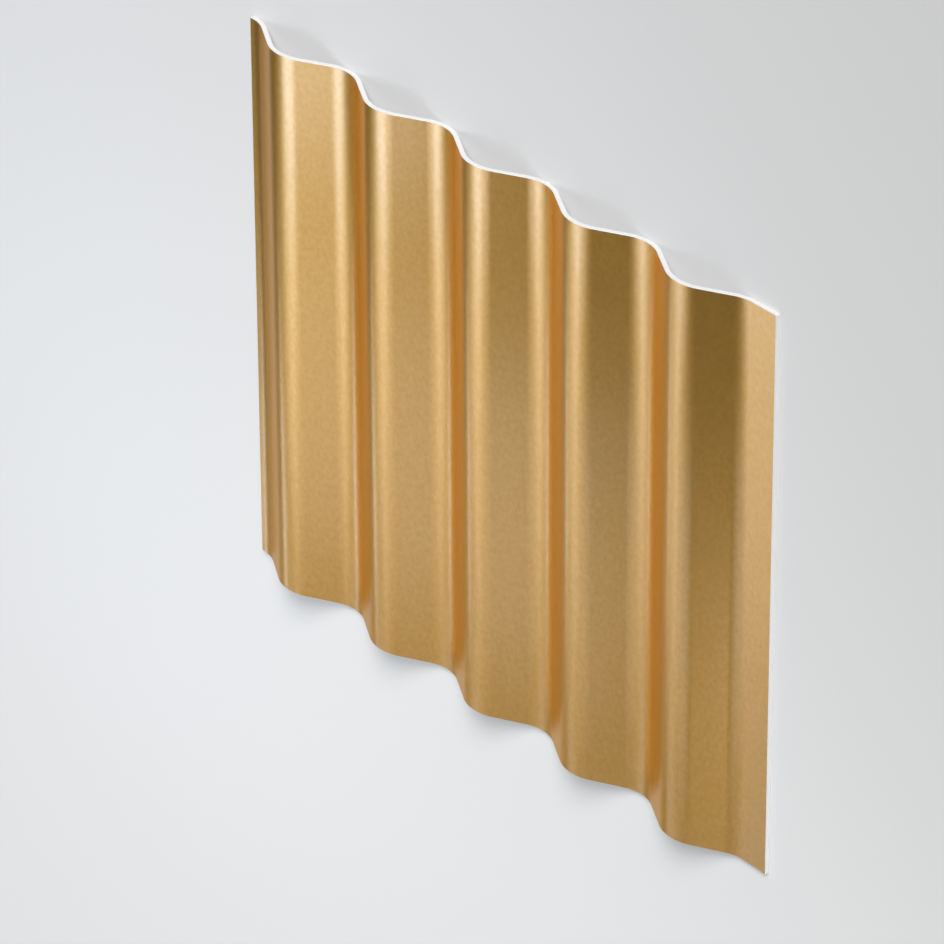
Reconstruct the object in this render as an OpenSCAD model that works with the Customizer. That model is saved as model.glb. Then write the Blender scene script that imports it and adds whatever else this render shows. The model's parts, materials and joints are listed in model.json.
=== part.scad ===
/* [Sheet] */
// Length of the sheet along the corrugations
sheet_length = 280; // [100:1:3000]
// Thickness of the metal
thickness = 2.3; // [0.6:0.1:6]

/* [Corrugation] */
// Number of full waves across the sheet, from trough to trough
waves = 5; // [1:1:14]
// Pitch, from one crest to the next
pitch = 67.7; // [42:0.1:76]
// Depth, from crest to trough on the same face
depth = 12.7; // [11.3:0.1:23]
// Slope of the straight flank between two bends, as its rise for each unit across
flank_slope = 0.75; // [0.45:0.01:0.87]

/* [Lips] */
// Flat lip before the first trough, on the -X side
narrow_lip = 2; // [1:0.5:60]
// Flat lip after the last trough, on the +X side, where the next sheet laps over
wide_lip = 15; // [1:0.5:60]

/* [Hidden] */
gold = [0.80, 0.65, 0.40];
$fn = 128;

// A flank is tangent to the bends at both of its ends. Together they go half a pitch across and
// one depth up or down, which gives the bend radius at the middle of the metal and the length of
// the straight run.
half_pitch = pitch / 2;
flank_angle = atan(flank_slope);
bend_fall = 1 - cos(flank_angle);
bend_radius = (half_pitch * sin(flank_angle) - depth * cos(flank_angle)) / (2 * bend_fall);
flank_length = (depth - 2 * bend_radius * bend_fall) / sin(flank_angle);

// The sheet is centred across its whole width, lips included
sheet_width = narrow_lip + waves * pitch + wide_lip;

// Larger than any bend, for the half-planes that cut a ring down to a bend
reach = 4 * (bend_radius + thickness);

// The section is walked from one lip to the other. Every step starts at the origin, heads along +X
// with the metal centred on its path, and hands its far end on to the next step as the new origin.
module straight(run) {
    translate([0, -thickness / 2])
        square([run, thickness]);
    translate([run, 0])
        children();
}

// Turns the path about the centre of a bend, which lies above it for a positive angle
module turned(angle) {
    centre_y = sign(angle) * bend_radius;
    translate([0, centre_y])
        rotate(angle)
            translate([0, -centre_y])
                children();
}

// Bend of the path, up for a positive angle and down for a negative one
module bend(angle) {
    intersection() {
        translate([0, sign(angle) * bend_radius])
            difference() {
                circle(r = bend_radius + thickness / 2);
                circle(r = bend_radius - thickness / 2);
            }
        translate([0, -reach / 2])
            square(reach);
        turned(angle)
            translate([-reach, -reach / 2])
                square(reach);
    }
    turned(angle)
        children();
}

// From the top of one rising flank to the end of the sheet, with this many waves to go
module waves_to_go(count) {
    bend(-2 * flank_angle)
        straight(flank_length)
            if (count > 1)
                bend(2 * flank_angle)
                    straight(flank_length)
                        waves_to_go(count - 1);
            else
                bend(flank_angle)
                    straight(wide_lip);
}

// Section across the corrugations, with the troughs and lips resting on y = 0
module section() {
    translate([-sheet_width / 2, thickness / 2])
        straight(narrow_lip)
            bend(flank_angle)
                straight(flank_length)
                    waves_to_go(waves);
}

module corrugated_sheet() {
    color(gold)
        rotate([90, 0, 0])
            linear_extrude(height = sheet_length, center = true)
                section();
}

corrugated_sheet();
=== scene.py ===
import json
import math

import bmesh
import bpy
from bpy.props import FloatProperty, FloatVectorProperty, IntProperty, PointerProperty
from bpy.types import Operator, Panel, PropertyGroup
from mathutils import Matrix, Vector


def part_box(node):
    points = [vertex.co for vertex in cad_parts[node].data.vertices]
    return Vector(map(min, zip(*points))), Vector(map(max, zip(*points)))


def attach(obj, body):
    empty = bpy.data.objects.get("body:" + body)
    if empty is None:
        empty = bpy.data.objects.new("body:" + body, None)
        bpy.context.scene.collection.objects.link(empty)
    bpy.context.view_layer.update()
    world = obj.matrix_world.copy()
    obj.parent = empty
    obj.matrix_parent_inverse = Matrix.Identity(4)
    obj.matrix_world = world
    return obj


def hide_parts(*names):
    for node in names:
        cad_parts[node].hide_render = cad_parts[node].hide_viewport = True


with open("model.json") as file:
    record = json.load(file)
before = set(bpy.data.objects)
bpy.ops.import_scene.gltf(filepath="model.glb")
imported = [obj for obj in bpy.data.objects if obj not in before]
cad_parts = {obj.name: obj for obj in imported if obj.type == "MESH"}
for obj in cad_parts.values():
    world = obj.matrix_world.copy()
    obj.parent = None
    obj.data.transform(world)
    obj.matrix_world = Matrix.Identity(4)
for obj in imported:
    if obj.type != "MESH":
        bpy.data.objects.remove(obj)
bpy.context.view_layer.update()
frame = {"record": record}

bl_info = {
    "name": "Gold Corrugated Sheet",
    "version": (1, 0, 0),
    "blender": (4, 5, 0),
    "location": "3D View > Sidebar > Corrugated Sheet",
    "description": "Rolls a gold-faced corrugated sheet in its packed frame and lays it on a studio floor",
    "category": "Object",
}

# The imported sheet, which sets the sizes of the rolled one
SHEET_NODE = "corrugated_sheet"
SHEET_LOW, SHEET_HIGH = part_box(SHEET_NODE)
SHEET_SIZE = SHEET_HIGH - SHEET_LOW
MOUNTS = {mount["name"]: Vector(mount["pos_m"]) for mount in frame["record"]["mounts"]}
LAP_FACE = MOUNTS["lap_face"]

# Distance below which two places count as one
TOUCH = 1e-6

# Corners sharper than this get the deburred edge, and bends flatter than this are shaded smooth
DEBURRED_CORNER = math.radians(60)
SMOOTH_BEND = math.radians(12)

# Places of the three finishes in the sheet's list of materials
GOLD_SIDE, BACK_SIDE, CUT_EDGE = range(3)

# Noise scales of the satin grain, in features for each metre
FLECK_SCALE = 520.0
CLOUD_SCALE = 60.0
STREAK_SCALE = 420.0
EDGE_FLECK_SCALE = 900.0
BACK_STREAK_SCALE = 520.0

# Stretch of the flecks and of the rolling streaks along the length of the sheet
FLECK_STRETCH = (1.0, 0.7, 1.0)
STREAK_STRETCH = (1.0, 0.02, 1.0)

# Shares of the gold's red, green and blue in the dark and the light flecks of its grain
FLECK_DARK = (0.86, 0.81, 0.5)
FLECK_LIGHT = (1.14, 1.19, 1.5)

# Satin of the gold, and the tint that it keeps where it is seen edge on
GOLD_ROUGHNESS = (0.43, 0.49)
GOLD_EDGE_TINT = (0.85, 0.54, 0.12, 1.0)
GOLD_BUMP = {"depth": 0.0001, "strength": 0.06}

# Clear lacquer on the gold: its weight over the flecks, and its share from face on to edge on
LACQUER_WEIGHT = (0.53, 1.0)
LACQUER_FACING = (0.45, 0.85)
LACQUER_SHARE = (1.0, 0.55)
LACQUER_ROUGHNESS = 0.26
LACQUER_IOR = 2.5

# Sheared edge, between bright metal and the pale burr of the cut
EDGE_DARK = 0.93
EDGE_ROUGHNESS = (0.38, 0.52)
EDGE_METALLIC = 0.5
EDGE_BUMP = {"depth": 0.00005, "strength": 0.15}

# Rolling streaks on the mill finish
BACK_DARK, BACK_LIGHT = 0.86, 1.08
BACK_ROUGHNESS = (0.32, 0.5)
BACK_BUMP = {"depth": 0.0001, "strength": 0.1}

# Paper of the floor
FLOOR_CORNERS = 96
FLOOR_CLOUD_SCALE = 1.5
FLOOR_DARK = 0.985

# Heights over the horizon between which the surroundings turn from pale to dim
PALE_UP_TO = math.radians(4)
DIM_FROM = math.radians(10)

# Softboxes that the gold face mirrors: name, place, width and length, radiance and colour
WHITE = (1.0, 1.0, 1.0)
COOL_WHITE = (0.85, 1.0, 1.2)
SOFTBOXES = (
    ("key_softbox", (-0.33, -0.105, 0.51), (0.32, 0.20), 3.4, COOL_WHITE),
    ("broad_softbox", (-0.135, -0.205, 0.30), (0.525, 0.18), 0.67, WHITE),
    ("top_softbox", (-0.07, 0.05, 0.44), (0.145, 0.365), 1.62, WHITE),
    ("right_softbox", (0.295, -0.225, 0.30), (0.12, 0.085), 3.8, WHITE),
    ("back_softbox", (0.13, -0.80, 0.525), (1.86, 0.515), 0.74, WHITE),
    ("left_softbox", (-0.90, -0.58, 0.41), (0.345, 0.135), 4.35, WHITE),
    ("low_strip", (-0.32, -0.36, 0.51), (0.14, 0.28), 0.42, WHITE),
)

# Wide soft lamp on the camera's side, which lights the cut edges
WIDE_LAMP_FROM = Vector((0.45, 0.75, 0.5))
WIDE_LAMP_ANGLE = math.radians(25)
WIDE_LAMP_ENERGY = 4.4


class SheetSettings(PropertyGroup):
    """Sizes and colours of the corrugated sheet."""

    waves: IntProperty(
        name="Waves",
        description="Full waves across the sheet, from trough to trough",
        default=5,
        min=1,
    )
    flank_slope: FloatProperty(
        name="Flank slope",
        description="Rise of the straight flank for each unit across",
        default=0.55,
        min=0.1,
        max=1.0,
    )
    thickness: FloatProperty(
        name="Thickness",
        description="Thickness of the metal",
        default=LAP_FACE.z,
        unit="LENGTH",
        subtype="DISTANCE",
    )
    narrow_lip: FloatProperty(
        name="Narrow lip",
        description="Flat lip before the first trough, on the -X side",
        default=0.002,
        unit="LENGTH",
        subtype="DISTANCE",
    )
    wide_lip: FloatProperty(
        name="Wide lip",
        description="Flat lip after the last trough, on the +X side",
        default=2 * (SHEET_HIGH.x - LAP_FACE.x),
        unit="LENGTH",
        subtype="DISTANCE",
    )
    bend_steps: IntProperty(
        name="Bend steps",
        description="Facets in the bend from a flank to a crest or a trough",
        default=24,
        min=4,
    )
    edge_break: FloatProperty(
        name="Edge break",
        description="Width of the deburred corner along every cut edge",
        default=0.00025,
        unit="LENGTH",
        subtype="DISTANCE",
    )
    gold: FloatVectorProperty(
        name="Gold face",
        description="Colour of the satin gold face",
        default=(0.73, 0.402, 0.066),
        min=0.0,
        max=1.0,
        subtype="COLOR",
    )
    bare: FloatVectorProperty(
        name="Bare edge",
        description="Colour of the bare metal at the cut edges",
        default=(0.93, 0.93, 0.925),
        min=0.0,
        max=1.0,
        subtype="COLOR",
    )
    mill: FloatVectorProperty(
        name="Mill back",
        description="Colour of the plain mill finish on the back",
        default=(0.74, 0.745, 0.75),
        min=0.0,
        max=1.0,
        subtype="COLOR",
    )


class StageSettings(PropertyGroup):
    """Floor, light and camera around the sheet."""

    floor_radius: FloatProperty(
        name="Floor radius",
        description="Radius of the floor round the sheet",
        default=15.0,
        unit="LENGTH",
        subtype="DISTANCE",
    )
    floor_colour: FloatVectorProperty(
        name="Floor",
        description="Colour of the plain pale floor",
        default=(0.5, 0.5, 0.5),
        min=0.0,
        max=1.0,
        subtype="COLOR",
    )
    floor_glow: FloatProperty(
        name="Floor glow",
        description="Brightness that the floor shows to the camera without lighting the sheet",
        default=0.2,
        min=0.0,
        max=1.0,
    )
    horizon_colour: FloatVectorProperty(
        name="Horizon",
        description="Light of the surroundings near the horizon",
        default=(0.45, 0.45, 0.45),
        min=0.0,
        max=1.0,
        subtype="COLOR",
    )
    ceiling_colour: FloatVectorProperty(
        name="Ceiling",
        description="Light of the surroundings overhead",
        default=(0.005, 0.005, 0.005),
        min=0.0,
        max=1.0,
        subtype="COLOR",
    )
    lens: FloatProperty(
        name="Lens",
        description="Focal length of the camera in millimetres",
        default=275.7,
    )
    azimuth: FloatProperty(
        name="Azimuth",
        description="Turn of the camera round the sheet, from the -Y side",
        default=math.radians(127.52),
        unit="ROTATION",
        subtype="ANGLE",
    )
    elevation: FloatProperty(
        name="Elevation",
        description="Height of the camera over the floor, as an angle",
        default=math.radians(33.06),
        unit="ROTATION",
        subtype="ANGLE",
    )
    roll: FloatProperty(
        name="Roll",
        description="Turn of the camera from the length of the sheet standing upright in the picture",
        default=math.radians(-0.3),
        unit="ROTATION",
        subtype="ANGLE",
    )
    distance: FloatProperty(
        name="Distance",
        description="From the camera to the point it looks at",
        default=3.2,
        unit="LENGTH",
        subtype="DISTANCE",
    )
    target: FloatVectorProperty(
        name="Target",
        description="Point that the camera looks at",
        default=(-0.0042, -0.0129, 0.0172),
        unit="LENGTH",
        subtype="XYZ",
    )


def add_node(tree, kind, **values):
    """Adds a node and sets the inputs that are named, with underscores for spaces."""
    node = tree.nodes.new(kind)
    for name, value in values.items():
        node.inputs[name.replace("_", " ")].default_value = value
    return node


def add_mix(tree, factor, dark, light):
    """Mixes two colours by a factor socket and returns the colour socket."""
    mix = tree.nodes.new("ShaderNodeMix")
    mix.data_type = "RGBA"
    factor_in, dark_in, light_in = (mix.inputs[index] for index in (0, 6, 7))
    tree.links.new(factor, factor_in)
    dark_in.default_value = (*dark, 1.0)
    light_in.default_value = (*light, 1.0)
    return mix.outputs[2]


def add_range(tree, value, low, high):
    """Spreads a value from 0 to 1 over a range and returns the value socket."""
    spread = add_node(tree, "ShaderNodeMapRange", To_Min=low, To_Max=high)
    tree.links.new(value, spread.inputs["Value"])
    return spread.outputs["Result"]


def shaded(colour, share):
    """A colour made darker or lighter by a share."""
    return tuple(min(1.0, channel * share) for channel in colour)


def tinted(colour, shares):
    """A colour with each channel changed by a share of its own."""
    return tuple(min(1.0, channel * share) for channel, share in zip(colour, shares))


def satin_grain():
    """The fine flecks, soft clouds and rolling streaks of a satin metal face, as one node group."""
    group = bpy.data.node_groups.new("Satin grain", "ShaderNodeTree")
    for name, default in (("Fleck", FLECK_SCALE), ("Cloud", CLOUD_SCALE), ("Streak", STREAK_SCALE)):
        scale = group.interface.new_socket(f"{name} Scale", in_out="INPUT", socket_type="NodeSocketFloat")
        scale.default_value = default
        group.interface.new_socket(name, in_out="OUTPUT", socket_type="NodeSocketFloat")
    start = group.nodes.new("NodeGroupInput")
    end = group.nodes.new("NodeGroupOutput")
    place = group.nodes.new("ShaderNodeTexCoord")
    flecks = add_node(group, "ShaderNodeMapping", Scale=FLECK_STRETCH)
    streaks = add_node(group, "ShaderNodeMapping", Scale=STREAK_STRETCH)
    for stretch in (flecks, streaks):
        group.links.new(place.outputs["Object"], stretch.inputs["Vector"])
    layers = (
        ("Fleck", flecks.outputs["Vector"], 2.0),
        ("Cloud", place.outputs["Object"], 3.0),
        ("Streak", streaks.outputs["Vector"], 2.0),
    )
    for name, vector, detail in layers:
        noise = add_node(group, "ShaderNodeTexNoise", Detail=detail, Roughness=0.55)
        group.links.new(vector, noise.inputs["Vector"])
        group.links.new(start.outputs[f"{name} Scale"], noise.inputs["Scale"])
        group.links.new(noise.outputs["Fac"], end.inputs[name])
    return group


def new_material(name):
    """An empty node material, with its tree and its shader."""
    material = bpy.data.materials.new(name)
    material.use_nodes = True
    return material, material.node_tree, material.node_tree.nodes["Principled BSDF"]


def add_grain(tree, grain, **scales):
    """Places the grain group in a material, with the scales that are named."""
    node = tree.nodes.new("ShaderNodeGroup")
    node.node_tree = grain
    for name, value in scales.items():
        node.inputs[name.replace("_", " ")].default_value = value
    return node


def add_math(tree, operation, first, second):
    """Joins two value sockets by an operation and returns the value socket."""
    node = tree.nodes.new("ShaderNodeMath")
    node.operation = operation
    tree.links.new(first, node.inputs[0])
    tree.links.new(second, node.inputs[1])
    return node.outputs["Value"]


def add_bump(tree, shader, height, depth, strength):
    """Raises a height on the surface of a shader."""
    bump = add_node(tree, "ShaderNodeBump", Distance=depth, Strength=strength)
    tree.links.new(height, bump.inputs["Height"])
    tree.links.new(bump.outputs["Normal"], shader.inputs["Normal"])


def lacquer_share(tree):
    """Share of the lacquer's gloss, which fades on the metal that is seen edge on."""
    facing_low, facing_high = LACQUER_FACING
    share_face_on, share_edge_on = LACQUER_SHARE
    turn = add_node(tree, "ShaderNodeLayerWeight", Blend=0.5)
    share = add_node(
        tree,
        "ShaderNodeMapRange",
        From_Min=facing_low,
        From_Max=facing_high,
        To_Min=share_face_on,
        To_Max=share_edge_on,
    )
    share.interpolation_type = "SMOOTHSTEP"
    tree.links.new(turn.outputs["Facing"], share.inputs["Value"])
    return share.outputs["Result"]


def gold_face(gold, grain):
    """Satin gold with fine flecks, under a clear lacquer."""
    material, tree, shader = new_material("satin gold face")
    marks = add_grain(tree, grain)
    flecked = add_mix(tree, marks.outputs["Fleck"], tinted(gold, FLECK_DARK), tinted(gold, FLECK_LIGHT))
    tree.links.new(flecked, shader.inputs["Base Color"])
    satin = add_range(tree, marks.outputs["Cloud"], *GOLD_ROUGHNESS)
    tree.links.new(satin, shader.inputs["Roughness"])
    shader.inputs["Metallic"].default_value = 1.0
    shader.inputs["Specular Tint"].default_value = GOLD_EDGE_TINT
    weight = add_range(tree, marks.outputs["Fleck"], *LACQUER_WEIGHT)
    lacquer = add_math(tree, "MULTIPLY", lacquer_share(tree), weight)
    tree.links.new(lacquer, shader.inputs["Coat Weight"])
    shader.inputs["Coat Roughness"].default_value = LACQUER_ROUGHNESS
    shader.inputs["Coat IOR"].default_value = LACQUER_IOR
    add_bump(tree, shader, marks.outputs["Fleck"], **GOLD_BUMP)
    return material


def bare_edge(bare, grain):
    """Bright metal where the sheet was sheared, with a faint mottle."""
    material, tree, shader = new_material("bare cut edge")
    marks = add_grain(tree, grain, Fleck_Scale=EDGE_FLECK_SCALE)
    mottled = add_mix(tree, marks.outputs["Fleck"], shaded(bare, EDGE_DARK), bare)
    tree.links.new(mottled, shader.inputs["Base Color"])
    burr = add_range(tree, marks.outputs["Fleck"], *EDGE_ROUGHNESS)
    tree.links.new(burr, shader.inputs["Roughness"])
    shader.inputs["Metallic"].default_value = EDGE_METALLIC
    add_bump(tree, shader, marks.outputs["Fleck"], **EDGE_BUMP)
    return material


def mill_back(mill, grain):
    """Plain mill finish on the back, streaked the way it was rolled."""
    material, tree, shader = new_material("mill finish back")
    marks = add_grain(tree, grain, Streak_Scale=BACK_STREAK_SCALE)
    streaked = add_mix(tree, marks.outputs["Streak"], shaded(mill, BACK_DARK), shaded(mill, BACK_LIGHT))
    tree.links.new(streaked, shader.inputs["Base Color"])
    drawn = add_range(tree, marks.outputs["Streak"], *BACK_ROUGHNESS)
    tree.links.new(drawn, shader.inputs["Roughness"])
    shader.inputs["Metallic"].default_value = 1.0
    add_bump(tree, shader, marks.outputs["Streak"], **BACK_BUMP)
    return material


def deselect_all():
    """Leaves nothing selected."""
    bpy.ops.object.select_all(action="DESELECT")


def select_leading_edge(piece):
    """Selects the edge of the half-rolled sheet that lies furthest to +X."""
    mesh = bmesh.from_edit_mesh(piece.data)
    furthest = max(vert.co.x for vert in mesh.verts)
    for vert in mesh.verts:
        vert.select = vert.co.x > furthest - TOUCH
    mesh.select_mode = {"VERT"}
    mesh.select_flush_mode()
    bmesh.update_edit_mesh(piece.data)


class SectionRoller:
    """Rolls the middle of the sheet out of its narrow lip, one straight run or bend at a time."""

    def __init__(self, piece, place, radius, steps):
        self.piece = piece
        self.place = place
        self.heading = 0.0
        self.radius = radius
        self.steps = steps

    def run(self, length):
        """Extrudes a straight run in the direction of travel."""
        step = Vector((math.cos(self.heading), 0.0, math.sin(self.heading))) * length
        select_leading_edge(self.piece)
        bpy.ops.mesh.extrude_region_move(TRANSFORM_OT_translate={"value": step})
        self.place = self.place + step

    def bend(self, angle):
        """Spins a bend, upwards for a positive angle and downwards for a negative one.

        Spin turns clockwise as seen against its axis.
        """
        side = math.copysign(1.0, angle)
        inwards = Vector((-math.sin(self.heading), 0.0, math.cos(self.heading))) * side
        centre = self.place + inwards * self.radius
        select_leading_edge(self.piece)
        bpy.ops.mesh.spin(
            steps=self.steps,
            angle=abs(angle),
            center=centre,
            axis=(0.0, side, 0.0),
        )
        turn = Matrix.Rotation(-angle, 3, "Y")
        self.place = centre + turn @ (self.place - centre)
        self.heading += angle


def apply_modifier(piece, kind, **values):
    """Adds a modifier with the values that are named and applies it."""
    modifier = piece.modifiers.new(kind.title(), kind)
    for name, value in values.items():
        setattr(modifier, name, value)
    bpy.ops.object.modifier_apply(modifier=modifier.name)


class SHEET_OT_corrugated_sheet(Operator):
    """Roll the corrugated sheet, give it its thickness and finish its faces and edges"""

    bl_idname = "sheet.corrugated_sheet"
    bl_label = "Corrugated Sheet"

    def execute(self, context):
        sheet = context.scene.corrugated_sheet
        piece = self.add_narrow_lip(context, sheet)
        self.roll(piece, sheet)
        self.thicken(piece, sheet)
        self.finish(piece)
        return {"FINISHED"}

    def add_narrow_lip(self, context, sheet):
        """Starts the middle of the sheet as the flat strip of its narrow lip."""
        deselect_all()
        middle = Vector((SHEET_LOW.x + sheet.narrow_lip / 2, 0.0, SHEET_LOW.z + sheet.thickness / 2))
        bpy.ops.mesh.primitive_plane_add(size=1.0, location=middle)
        piece = context.active_object
        piece.name = "gold_corrugated_sheet"
        piece.scale = (sheet.narrow_lip, SHEET_SIZE.y, 1.0)
        bpy.ops.object.transform_apply(location=True, rotation=True, scale=True)
        return piece

    def roll(self, piece, sheet):
        """Rolls the waves and the wide lip, tangent to one another."""
        depth = SHEET_SIZE.z - sheet.thickness
        half_pitch = (SHEET_SIZE.x - sheet.narrow_lip - sheet.wide_lip) / sheet.waves / 2
        slope = math.atan(sheet.flank_slope)
        bend_fall = 1 - math.cos(slope)
        radius = (half_pitch * math.sin(slope) - depth * math.cos(slope)) / (2 * bend_fall)
        flank = (depth - 2 * radius * bend_fall) / math.sin(slope)
        start = Vector((SHEET_LOW.x + sheet.narrow_lip, 0.0, SHEET_LOW.z + sheet.thickness / 2))
        bpy.ops.object.mode_set(mode="EDIT")
        roller = SectionRoller(piece, start, radius, sheet.bend_steps)
        for _ in range(sheet.waves):
            roller.bend(slope)
            roller.run(flank)
            roller.bend(-slope)
            roller.bend(-slope)
            roller.run(flank)
            roller.bend(slope)
        roller.run(sheet.wide_lip)
        bpy.ops.mesh.select_all(action="SELECT")
        bpy.ops.mesh.remove_doubles(threshold=TOUCH)
        bpy.ops.mesh.normals_make_consistent(inside=False)
        bpy.ops.object.mode_set(mode="OBJECT")
        if sum(face.normal.z for face in piece.data.polygons) < 0:
            self.turn_over()
        if (roller.place - Vector((SHEET_HIGH.x, 0.0, start.z))).length > TOUCH:
            raise RuntimeError(f"the rolled section ends at {tuple(roller.place)}")

    def turn_over(self):
        """Turns every face to look upwards."""
        bpy.ops.object.mode_set(mode="EDIT")
        bpy.ops.mesh.select_all(action="SELECT")
        bpy.ops.mesh.flip_normals()
        bpy.ops.object.mode_set(mode="OBJECT")

    def thicken(self, piece, sheet):
        """Gives the sheet its metal on both sides of the middle, and breaks the cut edges."""
        grain = satin_grain()
        finishes = {
            GOLD_SIDE: gold_face(sheet.gold, grain),
            BACK_SIDE: mill_back(sheet.mill, grain),
            CUT_EDGE: bare_edge(sheet.bare, grain),
        }
        for side in sorted(finishes):
            piece.data.materials.append(finishes[side])
        apply_modifier(
            piece,
            "SOLIDIFY",
            thickness=sheet.thickness,
            offset=0.0,
            use_even_offset=True,
            material_offset=BACK_SIDE,
            material_offset_rim=CUT_EDGE,
        )
        apply_modifier(
            piece,
            "BEVEL",
            width=sheet.edge_break,
            segments=2,
            limit_method="ANGLE",
            angle_limit=DEBURRED_CORNER,
            material=CUT_EDGE,
        )

    def finish(self, piece):
        """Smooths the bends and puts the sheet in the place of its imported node."""
        bpy.ops.object.shade_smooth_by_angle(angle=SMOOTH_BEND)
        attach(piece, "root")
        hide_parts(SHEET_NODE)


def floor_paper(colour, glow):
    """Matt pale paper with a faint cloud, which glows a little to the camera and in the metal."""
    material, tree, shader = new_material("pale floor")
    place = tree.nodes.new("ShaderNodeTexCoord")
    cloud = add_node(tree, "ShaderNodeTexNoise", Scale=FLOOR_CLOUD_SCALE, Detail=2.0)
    tree.links.new(place.outputs["Object"], cloud.inputs["Vector"])
    clouded = add_mix(tree, cloud.outputs["Fac"], shaded(colour, FLOOR_DARK), colour)
    tree.links.new(clouded, shader.inputs["Base Color"])
    shader.inputs["Roughness"].default_value = 0.9
    shader.inputs["Specular IOR Level"].default_value = 0.1
    shader.inputs["Emission Color"].default_value = (1.0, 1.0, 1.0, 1.0)
    path = tree.nodes.new("ShaderNodeLightPath")
    seen = path.outputs["Is Camera Ray"]
    for name in ("Is Glossy Ray", "Is Transmission Ray"):
        seen = add_math(tree, "MAXIMUM", seen, path.outputs[name])
    tree.links.new(add_range(tree, seen, 0.0, glow), shader.inputs["Emission Strength"])
    return material


def add_softbox(name, place, size, radiance, colour):
    """Hangs a level rectangular softbox over the sheet, which shines downwards."""
    width, length = size
    bpy.ops.object.light_add(type="AREA", location=place)
    lamp = bpy.context.active_object
    lamp.name = name
    lamp.data.shape = "RECTANGLE"
    lamp.data.size = width
    lamp.data.size_y = length
    lamp.data.energy = radiance * math.pi * width * length
    lamp.data.color = colour
    lamp.visible_camera = False


class SHEET_OT_studio(Operator):
    """Lay the floor, hang the lights and set up the camera"""

    bl_idname = "sheet.studio"
    bl_label = "Studio"

    def execute(self, context):
        stage = context.scene.sheet_stage
        deselect_all()
        self.lay_floor(context, stage)
        self.paint_surroundings(context, stage)
        self.hang_lights(context)
        self.set_camera(context, stage)
        context.scene.view_settings.view_transform = "Standard"
        return {"FINISHED"}

    def lay_floor(self, context, stage):
        """Lays a round pale floor under the sheet."""
        place = (0.0, 0.0, SHEET_LOW.z)
        bpy.ops.mesh.primitive_circle_add(
            vertices=FLOOR_CORNERS, radius=stage.floor_radius, fill_type="NGON", location=place
        )
        floor = context.active_object
        floor.name = "floor"
        floor.data.materials.append(floor_paper(stage.floor_colour, stage.floor_glow))

    def paint_surroundings(self, context, stage):
        """Lights the surroundings pale at the horizon and dim overhead."""
        world = bpy.data.worlds.new("studio")
        world.use_nodes = True
        tree = world.node_tree
        place = tree.nodes.new("ShaderNodeTexCoord")
        split = tree.nodes.new("ShaderNodeSeparateXYZ")
        tree.links.new(place.outputs["Generated"], split.inputs["Vector"])
        rise = add_node(
            tree, "ShaderNodeMapRange", From_Min=math.sin(PALE_UP_TO), From_Max=math.sin(DIM_FROM)
        )
        rise.interpolation_type = "SMOOTHSTEP"
        tree.links.new(split.outputs["Z"], rise.inputs["Value"])
        shade = add_mix(tree, rise.outputs["Result"], stage.horizon_colour, stage.ceiling_colour)
        tree.links.new(shade, tree.nodes["Background"].inputs["Color"])
        context.scene.world = world

    def hang_lights(self, context):
        """Hangs the softboxes that the gold face mirrors, and a wide soft lamp on the camera's side."""
        for softbox in SOFTBOXES:
            add_softbox(*softbox)
        bpy.ops.object.light_add(type="SUN")
        lamp = context.active_object
        lamp.name = "wide_lamp"
        lamp.data.angle = WIDE_LAMP_ANGLE
        lamp.data.energy = WIDE_LAMP_ENERGY
        lamp.rotation_euler = WIDE_LAMP_FROM.to_track_quat("Z", "Y").to_euler()

    def set_camera(self, context, stage):
        """Looks down on the sheet with its length upright in the picture."""
        level = math.cos(stage.elevation)
        back = Vector((
            math.sin(stage.azimuth) * level,
            -math.cos(stage.azimuth) * level,
            math.sin(stage.elevation),
        ))
        right = Vector((0.0, 1.0, 0.0)).cross(back).normalized()
        right = Matrix.Rotation(stage.roll, 3, back) @ right
        up = back.cross(right)
        bpy.ops.object.camera_add()
        camera = context.active_object
        camera.name = "camera"
        camera.data.lens = stage.lens
        turn = Matrix((right, up, back)).transposed().to_4x4()
        camera.matrix_world = Matrix.Translation(Vector(stage.target) + back * stage.distance) @ turn
        context.scene.camera = camera


class SHEET_PT_panel(Panel):
    """Lists the sheet's settings and the steps that make it."""

    bl_idname = "SHEET_PT_panel"
    bl_label = "Corrugated Sheet"
    bl_space_type = "VIEW_3D"
    bl_region_type = "UI"
    bl_category = "Corrugated Sheet"

    def draw(self, context):
        for settings, step in (
            (context.scene.corrugated_sheet, SHEET_OT_corrugated_sheet),
            (context.scene.sheet_stage, SHEET_OT_studio),
        ):
            box = self.layout.box()
            for name in settings.__annotations__:
                box.prop(settings, name)
            box.operator(step.bl_idname)


CLASSES = (SheetSettings, StageSettings, SHEET_OT_corrugated_sheet, SHEET_OT_studio, SHEET_PT_panel)


def register():
    for made in CLASSES:
        bpy.utils.register_class(made)
    bpy.types.Scene.corrugated_sheet = PointerProperty(type=SheetSettings)
    bpy.types.Scene.sheet_stage = PointerProperty(type=StageSettings)


def unregister():
    del bpy.types.Scene.sheet_stage
    del bpy.types.Scene.corrugated_sheet
    for made in reversed(CLASSES):
        bpy.utils.unregister_class(made)


def main():
    register()
    bpy.ops.sheet.corrugated_sheet()
    bpy.ops.sheet.studio()


if __name__ == "__main__":
    main()
